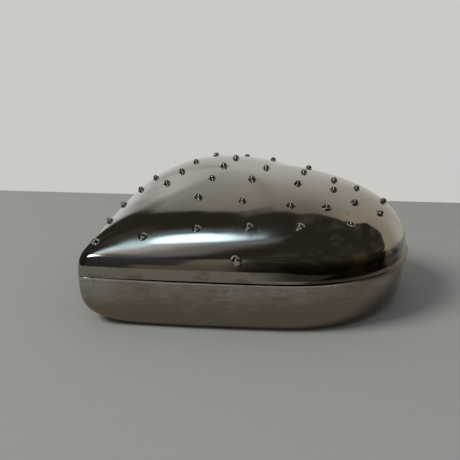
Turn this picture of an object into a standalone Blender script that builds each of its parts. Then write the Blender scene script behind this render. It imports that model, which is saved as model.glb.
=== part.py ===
"""Heart-shaped keepsake box in polished silvered metal.

A raised, studded lid lifts off a low round-bottomed bowl. Both have the same heart outline,
and a thin bezel standing inside the bowl's rim keeps the lid in place. Metres, +Z up. The
tip of the heart points along -Y, the notch along +Y, and the bowl stands on Z = 0.
"""

import math

import bmesh
import bpy
from mathutils import Vector
from mathutils.bvhtree import BVHTree

# Heart outline at the seam, drawn as arcs that run smoothly into each other
HEART_LENGTH = 0.120
SHOULDER_SPREAD = 0.0320
SHOULDER_RADIUS = 0.0451
LOBE_TURN_DEGREES = 50.0
NOTCH_DEPTH = 0.017
NOTCH_RADIUS = 0.0065
SIDE_RADIUS = 0.600
TIP_RADIUS = 0.003
TIP_STEPS = 3
SIDE_STEPS = 13
SHOULDER_STEPS = 11
LOBE_STEPS = 11
NOTCH_STEPS = 4

# Sheet and seam
WALL = 0.0010
SEAM_HEIGHT = 0.0175
SEAM_GAP = 0.0003
LIP_FLARE = 0.0011
LIP_HEIGHT = 0.0016
LIP_START_SHARE = 0.34
LIP_FULL_SHARE = 0.60

# Lid: level lines draw in from the heart and round off into the crown's oval
LID_RISE = 0.0271
HEART_CENTRE_FORWARD = 0.0280
CROWN_FORWARD = 0.0096
CROWN_HALF_WIDTH = 0.0613
CROWN_HALF_LENGTH = 0.0366
CROWN_BLEND_POWER = 1.4
CROWN_SOFTNESS_SHARE = 0.24
DOME_SPAN_POWER = 1.2
DOME_RISE_POWER = 2.6
RIDGE_RADIUS = 0.030
RIDGE_POWER = 0.8
LOBE_FULLNESS_SHARE = 0.60
LOBE_START_SHARE = 0.25
LOBE_FULL_SHARE = 0.65
LID_LEVEL_SHARES = (
    0.9985, 0.993, 0.98, 0.96, 0.925, 0.88, 0.82, 0.74, 0.64, 0.52, 0.39, 0.25, 0.12,
)

# Bowl: the wall draws in towards the foot, most of all under the tip
BOWL_INSET = 0.0058
BOWL_POWER = 2.6
BOWL_STEPS = 8
KEEL_RADIUS = 0.0295

# Bezel that stands inside the bowl's rim and guides the lid
BEZEL_THICKNESS = 0.0009
BEZEL_RISE = 0.0035
BEZEL_REACH = 0.0050
BEZEL_TOP_LEAD = 0.0004
FIT_CLEARANCE = 0.0003

# Studs: a bead on a small soldered skirt
STUD_SKIRT_RADIUS = 0.0021
STUD_SKIRT_HEIGHT = 0.0004
STUD_BEAD_RADIUS = 0.0014
STUD_HEIGHT = 0.0013
STUD_SEAT_GAP = 0.0003
STUD_BEAD_STEPS = 4
STUD_SIDES = 10
RAY_HEADROOM = 0.010

# Places of the studs, set by hand: how far out, as a share of the heart's half width there,
# and how far along, as a share of its half length
OUTER_RIGHT_SHARES = (
    (0.00, -0.89), (0.50, -0.69), (0.59, -0.45), (0.695, -0.24), (0.795, -0.04),
    (0.865, 0.215), (0.85, 0.50), (0.77, 0.70), (0.96, -0.385), (0.315, 0.84),
)
OUTER_LEFT_SHARES = (
    (-0.65, -0.66), (-0.805, -0.42), (-0.745, -0.23), (-0.71, -0.07), (-0.925, 0.22),
    (-0.87, 0.44), (-0.825, 0.64), (-0.76, 0.82), (-0.325, 0.84),
)
MIDDLE_RIGHT_SHARES = (
    (0.17, -0.27), (0.405, -0.125), (0.615, 0.03), (0.725, 0.175), (0.75, 0.37),
    (0.625, 0.555), (0.17, 0.60),
)
MIDDLE_LEFT_SHARES = (
    (-0.40, -0.19), (-0.44, -0.01), (-0.46, 0.14), (-0.56, 0.40), (-0.49, 0.61),
    (-0.20, 0.61),
)
INNER_SHARES = (
    (-0.01, -0.065), (0.215, 0.07), (0.455, 0.21), (0.61, 0.345), (0.50, 0.475),
    (-0.135, 0.125), (0.095, 0.285), (0.305, 0.41), (-0.275, 0.345),
)
STUD_PLACE_SHARES = (
    OUTER_RIGHT_SHARES + OUTER_LEFT_SHARES + MIDDLE_RIGHT_SHARES
    + MIDDLE_LEFT_SHARES + INNER_SHARES
)

MERGE_DISTANCE = 0.00001
SMOOTH_DEGREES = 40.0

SILVER = (0.74, 0.72, 0.68)
BEZEL_SILVER = (0.66, 0.64, 0.60)


def clear_scene():
    for thing in list(bpy.data.objects):
        bpy.data.objects.remove(thing, do_unlink=True)


def new_collection(name):
    group = bpy.data.collections.new(name)
    bpy.context.scene.collection.children.link(group)
    return group


def metal(name, color, roughness):
    material = bpy.data.materials.new(name)
    material.use_nodes = True
    shader = material.node_tree.nodes["Principled BSDF"]
    shader.inputs["Base Color"].default_value = (*color, 1.0)
    shader.inputs["Metallic"].default_value = 1.0
    shader.inputs["Roughness"].default_value = roughness
    material.diffuse_color = (*color, 1.0)
    return material


def lobe_radius():
    """Radius of the lobe arc that joins the shoulder to a notch of the given depth."""
    turn = math.radians(LOBE_TURN_DEGREES)
    reach = SHOULDER_SPREAD / 2 + SHOULDER_RADIUS * math.cos(turn)
    middle = reach * math.cos(turn) + NOTCH_DEPTH
    rest = reach ** 2 + NOTCH_DEPTH ** 2 - 2 * NOTCH_DEPTH * NOTCH_RADIUS
    root = math.sqrt(middle ** 2 - math.cos(turn) ** 2 * rest)
    return (middle - root) / math.cos(turn) ** 2


def heart_centres():
    """Centres of the shoulder, side, lobe and notch arcs of the right half."""
    turn = math.radians(LOBE_TURN_DEGREES)
    lobe = lobe_radius()
    step = Vector((math.cos(turn), math.sin(turn))) * (SHOULDER_RADIUS - lobe)
    top = HEART_LENGTH / 2
    lobe_centre = Vector((SHOULDER_SPREAD / 2 + step.x, top - lobe))
    shoulder_centre = lobe_centre - step
    tip_centre = Vector((0, TIP_RADIUS - top))
    across = shoulder_centre - tip_centre
    distance = across.length
    from_tip = SIDE_RADIUS - TIP_RADIUS
    from_shoulder = SIDE_RADIUS - SHOULDER_RADIUS
    along = (from_tip ** 2 - from_shoulder ** 2 + distance ** 2) / (2 * distance)
    aside = math.sqrt(from_tip ** 2 - along ** 2)
    direction = across.normalized()
    side_centre = tip_centre + direction * along + Vector((-direction.y, direction.x)) * aside
    notch_centre = Vector((0, top - NOTCH_DEPTH + NOTCH_RADIUS))
    return shoulder_centre, side_centre, lobe_centre, notch_centre


def arc(centre, radius, start, end, steps, hollow=False):
    """Points and outward normals along an arc, without its last point."""
    points = []
    for step in range(steps):
        angle = start + (end - start) * step / steps
        outward = Vector((math.cos(angle), math.sin(angle)))
        points.append((centre + outward * radius, -outward if hollow else outward))
    return points


def direction_angle(start, end):
    return math.atan2(end.y - start.y, end.x - start.x)


def heart_half(inset, tip_radius=TIP_RADIUS):
    """Right half of the outline, from the tip to the notch, moved in by the inset."""
    shoulder, side, lobe, notch = heart_centres()
    reach = SIDE_RADIUS - inset - tip_radius
    tip = Vector((0, side.y - math.sqrt(reach ** 2 - side.x ** 2)))
    tip_turn = direction_angle(side, tip)
    shoulder_turn = direction_angle(side, shoulder)
    lobe_turn = math.radians(LOBE_TURN_DEGREES)
    notch_turn = direction_angle(lobe, notch)
    points = arc(tip, tip_radius, -math.pi / 2, tip_turn, TIP_STEPS)
    points += arc(side, SIDE_RADIUS - inset, tip_turn, shoulder_turn, SIDE_STEPS)
    points += arc(shoulder, SHOULDER_RADIUS - inset, shoulder_turn, lobe_turn, SHOULDER_STEPS)
    points += arc(lobe, lobe_radius() - inset, lobe_turn, notch_turn, LOBE_STEPS)
    points += arc(notch, NOTCH_RADIUS + inset, notch_turn - math.pi, -math.pi / 2,
                  NOTCH_STEPS, hollow=True)
    bottom = notch - Vector((0, NOTCH_RADIUS + inset))
    points.append((bottom, Vector((0, 1))))
    return points


def half_width_at(along):
    """How far out the outline lies on one side, at a distance along the heart."""
    points = [point for point, _ in heart_half(0)]
    for before, after in zip(points, points[1:]):
        if before.y <= along <= after.y:
            share = (along - before.y) / (after.y - before.y)
            return before.x + (after.x - before.x) * share
    return 0


def rim_shares():
    """How far each point of the half outline lies from the tip, as a share of its length."""
    points = [point for point, _ in heart_half(0)]
    lengths = [0.0]
    for before, after in zip(points, points[1:]):
        lengths.append(lengths[-1] + (after - before).length)
    return [length / lengths[-1] for length in lengths]


def ease(share, start, end):
    """Smooth step from 0 to 1 between two shares."""
    rise = min(max((share - start) / (end - start), 0.0), 1.0)
    return rise * rise * (3 - 2 * rise)


def lip_flare(share):
    """The lip turns out round the lobes only and dies away along the sides."""
    return LIP_FLARE * ease(share, LIP_START_SHARE, LIP_FULL_SHARE)


def heart_line(inset, tip_radius=TIP_RADIUS, under_lip=True):
    """Points of the half outline, with the lip's flare taken off or kept."""
    line = []
    for (point, outward), share in zip(heart_half(inset, tip_radius), rim_shares()):
        line.append(point - outward * lip_flare(share) if under_lip else point)
    return line


def lid_line(shrink):
    """Half level line of the dome: the heart drawn in, and rounded off to the crown's oval."""
    centre = Vector((0, HEART_CENTRE_FORWARD))
    crown = Vector((0, CROWN_FORWARD))
    keep = shrink ** CROWN_BLEND_POWER
    tip_radius = TIP_RADIUS + (RIDGE_RADIUS - TIP_RADIUS) * (1 - shrink) ** RIDGE_POWER
    line = []
    for point, share in zip(heart_line(0, tip_radius), rim_shares()):
        fullness = LOBE_FULLNESS_SHARE * ease(share, LOBE_START_SHARE, LOBE_FULL_SHARE)
        span = shrink ** (1 - fullness)
        from_crown = point - crown
        angle = math.atan2(from_crown.y / CROWN_HALF_LENGTH, from_crown.x / CROWN_HALF_WIDTH)
        oval = Vector((CROWN_HALF_WIDTH * math.cos(angle), CROWN_HALF_LENGTH * math.sin(angle)))
        drawn_in = centre + (point - centre) * span
        rounded = crown + oval * span
        line.append(drawn_in * keep + rounded * (1 - keep))
    return line


def lid_height(shrink):
    """Height of a level line above the lip: steep walls, and a crown without a peak."""
    edge = math.hypot(1, CROWN_SOFTNESS_SHARE) - CROWN_SOFTNESS_SHARE
    span = (math.hypot(shrink, CROWN_SOFTNESS_SHARE) - CROWN_SOFTNESS_SHARE) / edge
    rise = (1 - span ** DOME_SPAN_POWER) ** (1 / DOME_RISE_POWER)
    return (LID_RISE - LIP_HEIGHT) * rise


def loft(bm, levels):
    """Skin between half lines of (line, height), each joined to the next one up."""
    rows = [[bm.verts.new((p.x, p.y, height)) for p in line] for line, height in levels]
    for lower, upper in zip(rows, rows[1:]):
        for place in range(len(lower) - 1):
            bm.faces.new((lower[place], lower[place + 1], upper[place + 1], upper[place]))
    return rows


def finish_mesh(bm, name):
    mesh = bpy.data.meshes.new(name)
    bm.to_mesh(mesh)
    bm.free()
    return mesh


def smooth_shade(mesh):
    mesh.shade_smooth()
    mesh.set_sharp_from_angle(angle=math.radians(SMOOTH_DEGREES))


def add_object(name, mesh, material, group):
    piece = bpy.data.objects.new(name, mesh)
    if not mesh.materials:
        mesh.materials.append(material)
    group.objects.link(piece)
    return piece


def complete(piece, thickness):
    """Mirror the half skin through tip and notch, and give it its wall, measured inwards."""
    halves = piece.modifiers.new("halves", "MIRROR")
    halves.use_axis = (True, False, False)
    halves.merge_threshold = MERGE_DISTANCE
    shell = piece.modifiers.new("wall", "SOLIDIFY")
    shell.thickness = thickness
    shell.offset = -1.0
    shell.use_even_offset = True
    shell.use_rim = True


def settle_rim(piece, height, band):
    """Apply the modifiers and bring both edges of the rim to one level plane."""
    evaluated = piece.evaluated_get(bpy.context.evaluated_depsgraph_get())
    mesh = bpy.data.meshes.new_from_object(evaluated)
    for vertex in mesh.vertices:
        if abs(vertex.co.z - height) < band:
            vertex.co.z = height
    piece.modifiers.clear()
    piece.data = mesh
    smooth_shade(mesh)


def build_lid(group):
    bm = bmesh.new()
    seam = SEAM_HEIGHT + SEAM_GAP
    levels = [(heart_line(0, under_lip=False), seam), (heart_line(0), seam + LIP_HEIGHT)]
    for shrink in LID_LEVEL_SHARES:
        levels.append((lid_line(shrink), seam + LIP_HEIGHT + lid_height(shrink)))
    highest = loft(bm, levels)[-1]
    top = bm.verts.new((0, CROWN_FORWARD, seam + LID_RISE))
    for before, after in zip(highest, highest[1:]):
        bm.faces.new((before, after, top))
    mesh = finish_mesh(bm, "lid_shell")
    lid = add_object("lid_shell", mesh, metal("lid_silver", SILVER, 0.10), group)
    complete(lid, WALL)
    settle_rim(lid, seam, LIP_HEIGHT / 2)
    return lid


def bowl_line(drawn_share):
    """Half level line of the bowl, drawn in by a share of what its foot is."""
    tip_radius = TIP_RADIUS + (KEEL_RADIUS - TIP_RADIUS) * drawn_share
    return heart_line(BOWL_INSET * drawn_share, tip_radius)


def drawn_in_share(height):
    """How far the bowl's outer wall has drawn in at a height, as a share of its foot."""
    sine = (1 - height / (SEAM_HEIGHT - LIP_HEIGHT)) ** (BOWL_POWER / 2)
    return 1 - math.sqrt(1 - sine ** 2) ** (2 / BOWL_POWER)


def build_bowl(group):
    bm = bmesh.new()
    levels = []
    for step in range(BOWL_STEPS, -1, -1):
        angle = math.pi / 2 * step / BOWL_STEPS
        drawn_share = 1 - math.cos(angle) ** (2 / BOWL_POWER)
        height_share = 1 - math.sin(angle) ** (2 / BOWL_POWER)
        levels.append((bowl_line(drawn_share), (SEAM_HEIGHT - LIP_HEIGHT) * height_share))
    levels.append((heart_line(0, under_lip=False), SEAM_HEIGHT))
    foot = loft(bm, levels)[0]
    bm.faces.new(list(reversed(foot)))
    mesh = finish_mesh(bm, "base_bowl")
    bowl = add_object("base_bowl", mesh, metal("base_silver", SILVER, 0.12), group)
    complete(bowl, WALL)
    settle_rim(bowl, SEAM_HEIGHT, LIP_HEIGHT / 2)
    return bowl


def bezel_line(inset, foot):
    """Half outline of the bezel, clear of the bowl's inner face down to the bezel's foot."""
    drawn_share = drawn_in_share(foot)
    clear_of_wall = WALL + FIT_CLEARANCE + BOWL_INSET * drawn_share
    return heart_line(clear_of_wall + inset, TIP_RADIUS + KEEL_RADIUS * drawn_share)


def build_bezel(group):
    foot = SEAM_HEIGHT - BEZEL_REACH
    top = SEAM_HEIGHT + SEAM_GAP + BEZEL_RISE
    bm = bmesh.new()
    loft(bm, [
        (bezel_line(0, foot), foot),
        (bezel_line(0, foot), top - BEZEL_TOP_LEAD),
        (bezel_line(BEZEL_TOP_LEAD / 2, foot), top),
    ])
    mesh = finish_mesh(bm, "inner_bezel")
    bezel = add_object("inner_bezel", mesh, metal("bezel_silver", BEZEL_SILVER, 0.20), group)
    complete(bezel, BEZEL_THICKNESS)
    settle_rim(bezel, foot, BEZEL_REACH / 10)
    return bezel


def stud_profile():
    """Half section of a stud, from the middle of its foot out and up to its crown."""
    points = [(0, 0), (STUD_SKIRT_RADIUS, 0)]
    waist = (STUD_SKIRT_RADIUS + STUD_BEAD_RADIUS) / 2
    points.append((waist, STUD_SKIRT_HEIGHT / 3))
    points.append((STUD_BEAD_RADIUS, STUD_SKIRT_HEIGHT))
    shoulder = STUD_SKIRT_HEIGHT
    for step in range(1, STUD_BEAD_STEPS + 1):
        angle = math.pi / 2 * step / STUD_BEAD_STEPS
        rise = (STUD_HEIGHT - shoulder) * math.sin(angle)
        radius = STUD_BEAD_RADIUS * math.cos(angle) if step < STUD_BEAD_STEPS else 0
        points.append((radius, shoulder + rise))
    return points


def stud_mesh():
    """Turn the stud's section round its own axis."""
    outline = bpy.data.meshes.new("stud_section")
    points = [(radius, 0, height) for radius, height in stud_profile()]
    outline.from_pydata(points, [(n, n + 1) for n in range(len(points) - 1)], [])
    guide = bpy.data.objects.new("stud_section", outline)
    bpy.context.scene.collection.objects.link(guide)
    turn = guide.modifiers.new("turn", "SCREW")
    turn.axis = "Z"
    turn.steps = STUD_SIDES
    turn.render_steps = STUD_SIDES
    turn.use_merge_vertices = True
    turn.merge_threshold = MERGE_DISTANCE
    evaluated = guide.evaluated_get(bpy.context.evaluated_depsgraph_get())
    mesh = bpy.data.meshes.new_from_object(evaluated)
    mesh.name = "stud"
    bpy.data.objects.remove(guide, do_unlink=True)
    bm = bmesh.new()
    bm.from_mesh(mesh)
    bmesh.ops.remove_doubles(bm, verts=bm.verts, dist=MERGE_DISTANCE)
    bmesh.ops.recalc_face_normals(bm, faces=bm.faces)
    bm.to_mesh(mesh)
    bm.free()
    smooth_shade(mesh)
    return mesh


def build_studs(group, lid):
    """Set each stud square to the lid's skin at its place."""
    mesh = stud_mesh()
    material = metal("stud_silver", SILVER, 0.14)
    tree = BVHTree.FromObject(lid, bpy.context.evaluated_depsgraph_get())
    start_height = SEAM_HEIGHT + LID_RISE + RAY_HEADROOM
    for number, (out_share, along_share) in enumerate(STUD_PLACE_SHARES, start=1):
        along = along_share * HEART_LENGTH / 2
        start = Vector((out_share * half_width_at(along), along, start_height))
        seat, normal, _, _ = tree.ray_cast(start, Vector((0, 0, -1)))
        stud = add_object(f"stud_{number:02d}", mesh, material, group)
        stud.parent = lid
        stud.location = seat + normal * STUD_SEAT_GAP
        stud.rotation_euler = normal.to_track_quat("Z", "Y").to_euler()


def main():
    clear_scene()
    group = new_collection("heart_box")
    lid = build_lid(group)
    build_bowl(group)
    build_bezel(group)
    bpy.context.view_layer.update()
    build_studs(group, lid)


main()
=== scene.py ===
"""Heart-shaped keepsake box: its polished shells, bezel and studs, and a plain studio.

Everything is in metres and in the box's own frame: +Z up, the heart's tip along -Y and its
notch along +Y. The shells are drawn as half skins from level lines and mirrored.
"""

import math

import bmesh
import bpy
from bpy.props import FloatProperty, FloatVectorProperty, IntProperty, PointerProperty
from mathutils import Matrix, Vector
from mathutils.bvhtree import BVHTree


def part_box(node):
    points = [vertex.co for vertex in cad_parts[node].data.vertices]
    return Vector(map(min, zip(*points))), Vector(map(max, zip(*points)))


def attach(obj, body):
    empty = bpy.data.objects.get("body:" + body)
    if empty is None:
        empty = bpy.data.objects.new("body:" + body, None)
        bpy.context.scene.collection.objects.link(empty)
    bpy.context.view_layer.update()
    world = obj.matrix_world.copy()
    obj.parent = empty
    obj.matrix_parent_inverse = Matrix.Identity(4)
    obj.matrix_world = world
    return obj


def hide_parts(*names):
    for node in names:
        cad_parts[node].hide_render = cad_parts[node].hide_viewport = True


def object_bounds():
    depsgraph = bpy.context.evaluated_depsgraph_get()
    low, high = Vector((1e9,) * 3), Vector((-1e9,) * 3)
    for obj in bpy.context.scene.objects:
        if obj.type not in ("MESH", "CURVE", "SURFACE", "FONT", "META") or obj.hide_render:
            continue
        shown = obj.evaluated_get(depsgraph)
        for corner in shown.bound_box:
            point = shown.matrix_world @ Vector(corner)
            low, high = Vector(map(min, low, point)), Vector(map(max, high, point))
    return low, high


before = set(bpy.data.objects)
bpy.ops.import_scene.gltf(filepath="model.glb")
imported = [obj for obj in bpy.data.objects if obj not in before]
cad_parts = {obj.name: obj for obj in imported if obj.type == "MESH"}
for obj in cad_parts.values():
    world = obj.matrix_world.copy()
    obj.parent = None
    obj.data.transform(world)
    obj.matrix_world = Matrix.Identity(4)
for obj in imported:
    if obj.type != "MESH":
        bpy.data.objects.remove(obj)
CAD_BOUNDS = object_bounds()

bl_info = {
    "name": "Heart Keepsake Box",
    "version": (1, 0, 0),
    "blender": (4, 5, 0),
    "location": "View3D > Sidebar > Heart Box",
    "description": "Polished metal heart box with a studded lift-off lid",
    "category": "Add Mesh",
}

# Settings


def length(name, description, default):
    return FloatProperty(name=name, description=description, default=default, unit="LENGTH",
                         precision=5)


def share(name, description, default):
    return FloatProperty(name=name, description=description, default=default, precision=3)


def angle(name, description, degrees):
    return FloatProperty(name=name, description=description, default=math.radians(degrees),
                         subtype="ANGLE")


def colour(name, description, default):
    return FloatVectorProperty(name=name, description=description, default=default, size=3,
                               subtype="COLOR", min=0.0, max=1.0)


class HEARTBOX_PG_outline(bpy.types.PropertyGroup):
    """The heart, drawn as arcs that run smoothly into each other."""

    heart_length: length("Length", "From the tip to the top of the lobes", 0.120)
    shoulder_spread: length("Shoulder spread", "Between the centres of the shoulders", 0.0320)
    shoulder_radius: length("Shoulder radius", "Radius of the wide part of a lobe", 0.0451)
    lobe_turn: angle("Lobe turn", "Where the shoulder arc hands over to the lobe arc", 50.0)
    notch_depth: length("Notch depth", "From the top of the lobes down to the notch", 0.017)
    notch_radius: length("Notch radius", "Radius of the hollow between the lobes", 0.0065)
    side_radius: length("Side radius", "Radius of the nearly straight sides", 0.600)
    tip_radius: length("Tip radius", "Radius of the tip at the seam", 0.003)


class HEARTBOX_PG_shells(bpy.types.PropertyGroup):
    """Sheet, seam, lid and bowl."""

    wall: length("Wall", "Thickness of the sheet", 0.0010)
    seam_height: length("Seam height", "Height of the bowl's rim", 0.0175)
    gap: length("Gap", "Widest gap under the lid's edge", 0.00095)
    flare: length("Lip flare", "How far the lips turn out round the lobes", 0.0011)
    lip_height: length("Lip height", "Height over which a lip turns out", 0.0016)
    lid_rise: length("Lid rise", "From the lid's edge to its crown", 0.0271)
    heart_centre: length("Heart centre", "Where the level lines draw in to", 0.0280)
    crown_forward: length("Crown", "Where the crown stands, from the middle to the notch", 0.0096)
    crown_half_width: length("Crown half width", "Half width of the crown's oval", 0.0613)
    crown_half_length: length("Crown half length", "Half length of the crown's oval", 0.0366)
    ridge_radius: length("Ridge radius", "Rounding of the ridge that runs to the tip", 0.030)
    bowl_inset: length("Bowl inset", "How far the bowl's foot is drawn in", 0.0058)
    keel_radius: length("Keel radius", "Rounding of the tip at the bowl's foot", 0.0295)
    crown_blend: share("Crown blend", "How fast the heart gives way to the oval", 1.4)
    crown_softness: share("Crown softness", "How broadly the crown is rounded", 0.24)
    span_power: share("Dome span power", "Fullness of the dome near the crown", 1.2)
    rise_power: share("Dome rise power", "Steepness of the dome near the edge", 2.6)
    ridge_power: share("Ridge power", "How fast the ridge softens going up", 0.8)
    lobe_fullness: share("Lobe fullness", "How much fuller the dome is over the lobes", 0.60)
    bowl_power: share("Bowl power", "Squareness of the bowl's section", 2.6)
    rim_crease: share("Rim crease", "How sharp the rims stay when they are smoothed", 0.55)
    planish: share("Planish", "How strongly each round evens the dome out", 0.5)
    planish_rounds: IntProperty(name="Planish rounds", description="How often it is evened out",
                                default=8, min=0)
    smooth_levels: IntProperty(name="Smooth levels", description="How finely shells are smoothed",
                               default=2, min=0)


class HEARTBOX_PG_fittings(bpy.types.PropertyGroup):
    """Bezel and studs."""

    bezel_thickness: length("Bezel thickness", "Sheet of the inner bezel", 0.0009)
    bezel_lead: length("Bezel lead", "Chamfer that leads the lid on", 0.0004)
    bezel_crease: share("Bezel crease", "How sharp the bezel's edges stay", 0.7)
    clearance: length("Clearance", "Between the bezel and the bowl's wall", 0.0003)
    skirt_radius: length("Skirt radius", "Foot of a stud, where its solder runs out", 0.0021)
    bead_radius: length("Bead radius", "Radius of a stud's round bead", 0.00112)
    stud_height: length("Stud height", "From the lid's skin to the bead's top", 0.00150)
    stud_sides: IntProperty(name="Stud sides", description="Steps round a stud", default=24,
                            min=8)


class HEARTBOX_PG_finish(bpy.types.PropertyGroup):
    """Colours and polish."""

    silver: colour("Silver", "Polished metal of the shells and studs", (0.63, 0.60, 0.545))
    # The tarnish is also laid on thicker round each shell's foot, partly as painted shade
    tarnish: colour("Tarnish", "Warm film left in the hollows", (0.25, 0.207, 0.155))
    inside: colour("Inside", "Duller metal of the inside and the bezel", (0.62, 0.59, 0.54))
    polish: share("Polish", "Roughness of the best polished places", 0.05)
    floor: colour("Floor", "Plain pale table top", (0.302, 0.30, 0.29))
    backdrop: colour("Backdrop", "Plain pale wall behind", (0.60, 0.59, 0.575))
    ambient: share("Ambient", "Even light from all round", 0.41)
    wall_side: colour("Wall, side", "What the metal sees to the right", (0.31, 0.27, 0.215))
    window: colour("Window", "Daylight strip overhead", (0.62, 0.86, 1.0))
    glare: share("Glare", "How bright the window is", 2.5)
    spark: share("Spark", "How bright the small lamp is", 9.0)
    lit_room: colour("Lit room", "What the window lights beside it", (0.165, 0.168, 0.168))
    haze: colour("Haze", "Blurred light along the window's lower side", (0.50, 0.47, 0.46))
    card: colour("Card", "What stands low in front", (0.18, 0.165, 0.135))
    shelf: colour("Shelf", "What stands low to the right", (0.065, 0.052, 0.028))
    dim_blue: colour("Dim blue", "The dim side low down", (0.052, 0.052, 0.064))
    murk: colour("Murk", "What can just be made out on the dim side", (0.055, 0.05, 0.042))
    # The dim side's colour is also painted on the lid's hollow above its lip and on the bezel, as
    # painted shade
    dim: colour("Dim side", "Unlit side of the studio", (0.026, 0.0235, 0.018))


class HEARTBOX_PG_camera(bpy.types.PropertyGroup):
    """Where the camera stands and how it is turned."""

    azimuth: angle("Azimuth", "Turn round the box, from behind the tip", 51.59)
    elevation: angle("Elevation", "Height above the table, as an angle", 16.82)
    distance: length("Distance", "From the camera to the middle of the box", 0.25157)
    target_height: length("Target height", "Height of the point looked at", 0.025)
    image_pixels: share("Image width", "Width of the square image in pixels", 460.0)
    focal_pixels: share("Focal length", "In pixels of the image", 659.3)
    pixels_right: share("Target across", "Pixels from the image's left to the target", 221.76)
    pixels_down: share("Target down", "Pixels from the image's top to the target", 222.35)
    roll: angle("Roll", "Turn about the line of sight", 0.17)


class HEARTBOX_PG_lamp(bpy.types.PropertyGroup):
    """The one lamp, broad and soft."""

    power: share("Power", "Power of the lamp in watts", 18.5)
    size: length("Size", "Side of its square light", 0.55)
    aside: angle("Aside", "Turn round the box, from the camera", -70.0)
    reach: length("Reach", "Level distance from the middle of the box", 1.08)
    height: length("Height", "Height above the table", 1.08)
    aim_height: length("Aim height", "Height of the point it is aimed at", 0.02)


class HEARTBOX_PG_settings(bpy.types.PropertyGroup):
    """All that a user would set."""

    outline: PointerProperty(type=HEARTBOX_PG_outline)
    shells: PointerProperty(type=HEARTBOX_PG_shells)
    fittings: PointerProperty(type=HEARTBOX_PG_fittings)
    finish: PointerProperty(type=HEARTBOX_PG_finish)
    camera: PointerProperty(type=HEARTBOX_PG_camera)
    lamp: PointerProperty(type=HEARTBOX_PG_lamp)


# Shader sheets


class Wire:
    """A socket that can be reckoned with: every operator adds its Math node."""

    def __init__(self, sheet, socket):
        self.sheet = sheet
        self.socket = socket

    def math(self, operation, *values):
        return self.sheet.node("ShaderNodeMath", {"operation": operation}, dict(enumerate(values)))

    def __add__(self, other):
        return self.math("ADD", self, other)

    __radd__ = __add__

    def __sub__(self, other):
        return self.math("SUBTRACT", self, other)

    def __rsub__(self, other):
        return self.math("SUBTRACT", other, self)

    def __mul__(self, other):
        return self.math("MULTIPLY", self, other)

    __rmul__ = __mul__

    def __truediv__(self, other):
        return self.math("DIVIDE", self, other)

    def __rtruediv__(self, other):
        return self.math("DIVIDE", other, self)

    def at_least(self, low):
        return self.math("MAXIMUM", self, low)

    def smooth(self, low, high):
        """0 below low, 1 above high, and a smooth step between."""
        return self.sheet.node(
            "ShaderNodeMapRange",
            {"interpolation_type": "SMOOTHSTEP"},
            {"Value": self, "From Min": low, "From Max": high, "To Min": 0.0, "To Max": 1.0},
        )

    def fade(self, low, high):
        """1 below low, 0 above high, and a smooth step between."""
        return 1 - self.smooth(low, high)

    def band(self, rise, fall):
        """1 between a rise and a fall, each given as the two values of its smooth step."""
        return self.smooth(*rise) * self.fade(*fall)


class Sheet:
    """The nodes of one material or world."""

    def __init__(self, tree):
        self.tree = tree
        tree.nodes.clear()

    def node(self, kind, settings=None, sockets=None, output=0):
        """Add a node: its settings first, then the values or links of its sockets."""
        added = self.tree.nodes.new(kind)
        for name, value in (settings or {}).items():
            if name == "stops":
                self.set_stops(added.color_ramp, value)
            else:
                setattr(added, name, value)
        for key, value in (sockets or {}).items():
            socket = added.inputs[key]
            if isinstance(value, Wire):
                self.tree.links.new(value.socket, socket)
            else:
                socket.default_value = value
        found = added.outputs[output] if len(added.outputs) else None
        return Wire(self, found)

    @staticmethod
    def set_stops(ramp, stops):
        while len(ramp.elements) < len(stops):
            ramp.elements.new(1.0)
        for element, (place, shade) in zip(ramp.elements, stops):
            element.position = place
            element.color = rgba(shade)

    def blend(self, factor, low, high, kind="MIX"):
        """Mix two colours."""
        return self.node(
            "ShaderNodeMix",
            {"data_type": "RGBA", "blend_type": kind},
            {"Factor": factor, 6: rgba(low), 7: rgba(high)},
            output=2,
        )

    def dot(self, vector, axis):
        """How far a vector reaches along an axis."""
        return self.node("ShaderNodeVectorMath", {"operation": "DOT_PRODUCT"},
                         {0: vector, 1: axis}, output="Value")

    def part(self, vector, axis):
        """One part of a vector: X, Y or Z."""
        return self.node("ShaderNodeSeparateXYZ", None, {0: vector}, output=axis)

    def place(self, closeness=(1.0, 1.0, 1.0)):
        """Object coordinates in metres, for a pattern that lies closer along some axes."""
        spot = self.node("ShaderNodeTexCoord", output="Object")
        return self.node("ShaderNodeVectorMath", {"operation": "MULTIPLY"},
                         {0: spot, 1: closeness})

    def noise(self, spot, scale, detail, roughness, shown=None, distortion=0.0):
        """A pattern, even or, where two levels are given, coming in between them."""
        field = self.node(
            "ShaderNodeTexNoise",
            None,
            {"Vector": spot, "Scale": scale, "Detail": detail, "Roughness": roughness,
             "Distortion": distortion},
            output="Fac",
        )
        return field.smooth(*shown) if shown else field


def rgba(value):
    return value if isinstance(value, Wire) else (*value, 1.0)


# The finishes

# Patterns: scale per metre, detail, roughness and, where a pattern shows only in places, the
# levels between which it comes in
PATCHES = (55.0, 3.0, 0.55, (0.40, 0.70))
CLOUDS = (190.0, 4.0, 0.65)
SPECKS = (620.0, 2.0, 0.6, (0.66, 0.74))
SPOTS = (170.0, 2.0, 0.4, (0.70, 0.75))
SMUDGES = (230.0, 3.0, 0.6, (0.56, 0.66))
RUB_MARKS = (1300.0, 4.0, 0.7)
BROAD_WAVES = (60.0, 1.0, 0.4)
FINE_WAVES = (210.0, 1.0, 0.5)
BRUSH_MARKS = (260.0, 4.0, 0.65)
INSIDE_FILM = (90.0, 3.0, 0.6, (0.40, 0.75))
BEAD_GRAIN = (1800.0, 2.0, 0.5)
PAINT_GRAIN = (300.0, 4.0, 0.6)
# How many times closer a pattern lies along X, Y and Z: these three run level
RUB_CLOSENESS = (0.14, 0.14, 1.0)
SMUDGE_CLOSENESS = (0.4, 0.4, 1.0)
BRUSH_CLOSENESS = (1.0, 1.0, 9.0)
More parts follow.
